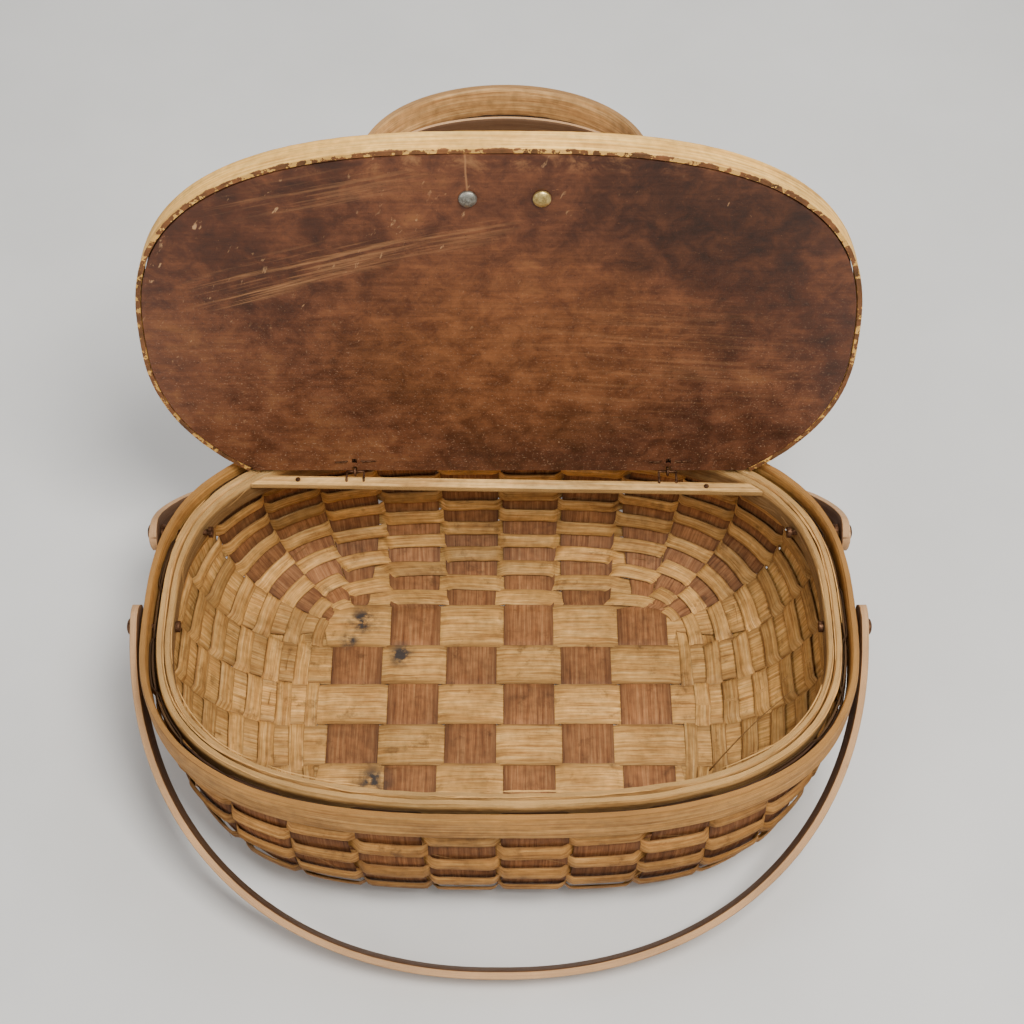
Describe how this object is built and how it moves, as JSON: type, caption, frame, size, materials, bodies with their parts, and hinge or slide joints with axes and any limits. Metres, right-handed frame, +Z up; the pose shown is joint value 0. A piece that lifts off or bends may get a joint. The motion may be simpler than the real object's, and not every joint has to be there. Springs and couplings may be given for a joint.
{
  "type": "sewing basket",
  "caption": "Oval splint-woven sewing basket with bent-wood rim hoops, a hinged board lid with a bow grip, and front and rear bent-wood swing bails.",
  "frame": {"origin": "middle of the flat woven base, on the surface the basket stands on", "axes": "+Z up, +X along the width of the basket, +Y from the front towards the hinge side"},
  "size_m": [0.373, 0.3558, 0.2984],
  "materials": {
    "splint_weave": "aged split-wood splints, unfinished and frayed",
    "rim_wood": "bent golden hardwood strip, worn smooth",
    "pale_wood": "pale split hoop wood, fibrous",
    "lid_board_wood": "dark reddish brown stained board, scratched",
    "bail_wood": "bent strip, pinkish tan edges and dark faces",
    "steel": "dull aged steel",
    "brass": "tarnished brass"
  },
  "bodies": {
    "basket": {"woven_body": "splint_weave", "outer_rim_band": "rim_wood", "inner_rim_hoop": "pale_wood", "inner_rim_liner": "pale_wood", "hinge_rail": "pale_wood", "rail_nail_left": "steel", "rail_nail_right": "steel", "rail_hinge_staple_left": "steel", "rail_hinge_staple_right": "steel", "front_pivot_pin_left": "steel", "front_pivot_pin_right": "steel", "rear_pivot_pin_left": "steel", "rear_pivot_pin_right": "steel", "front_pivot_washer_left": "steel", "front_pivot_washer_right": "steel", "rear_pivot_washer_left": "steel", "rear_pivot_washer_right": "steel"},
    "lid": {"lid_board": "lid_board_wood", "lid_edge_band": "rim_wood", "lid_hinge_eye_left": "steel", "lid_hinge_eye_right": "steel", "lid_grip_bow": "rim_wood", "lid_grip_inner_bow": "bail_wood", "grip_screw_steel": "steel", "grip_screw_brass": "brass", "grip_washer_left": "steel", "grip_washer_right": "steel"},
    "front_bail_part": {"front_bail": "bail_wood"},
    "rear_bail_part": {"rear_bail": "bail_wood"}
  },
  "joints": [
    {"name": "lid_hinge", "type": "hinge", "parent": "basket", "child": "lid", "pos_m": [0, 0.0834, 0.1009], "axis": [1, 0, 0], "range_deg": [0, 99]},
    {"name": "front_bail_pivot", "type": "hinge", "parent": "basket", "child": "front_bail_part", "pos_m": [0, -0.006, 0.09], "axis": [-1, 0, 0], "range_deg": [0, 118.4]},
    {"name": "rear_bail_pivot", "type": "hinge", "parent": "basket", "child": "rear_bail_part", "pos_m": [0, 0.052, 0.09], "axis": [1, 0, 0], "range_deg": [0, 60]}
  ]
}
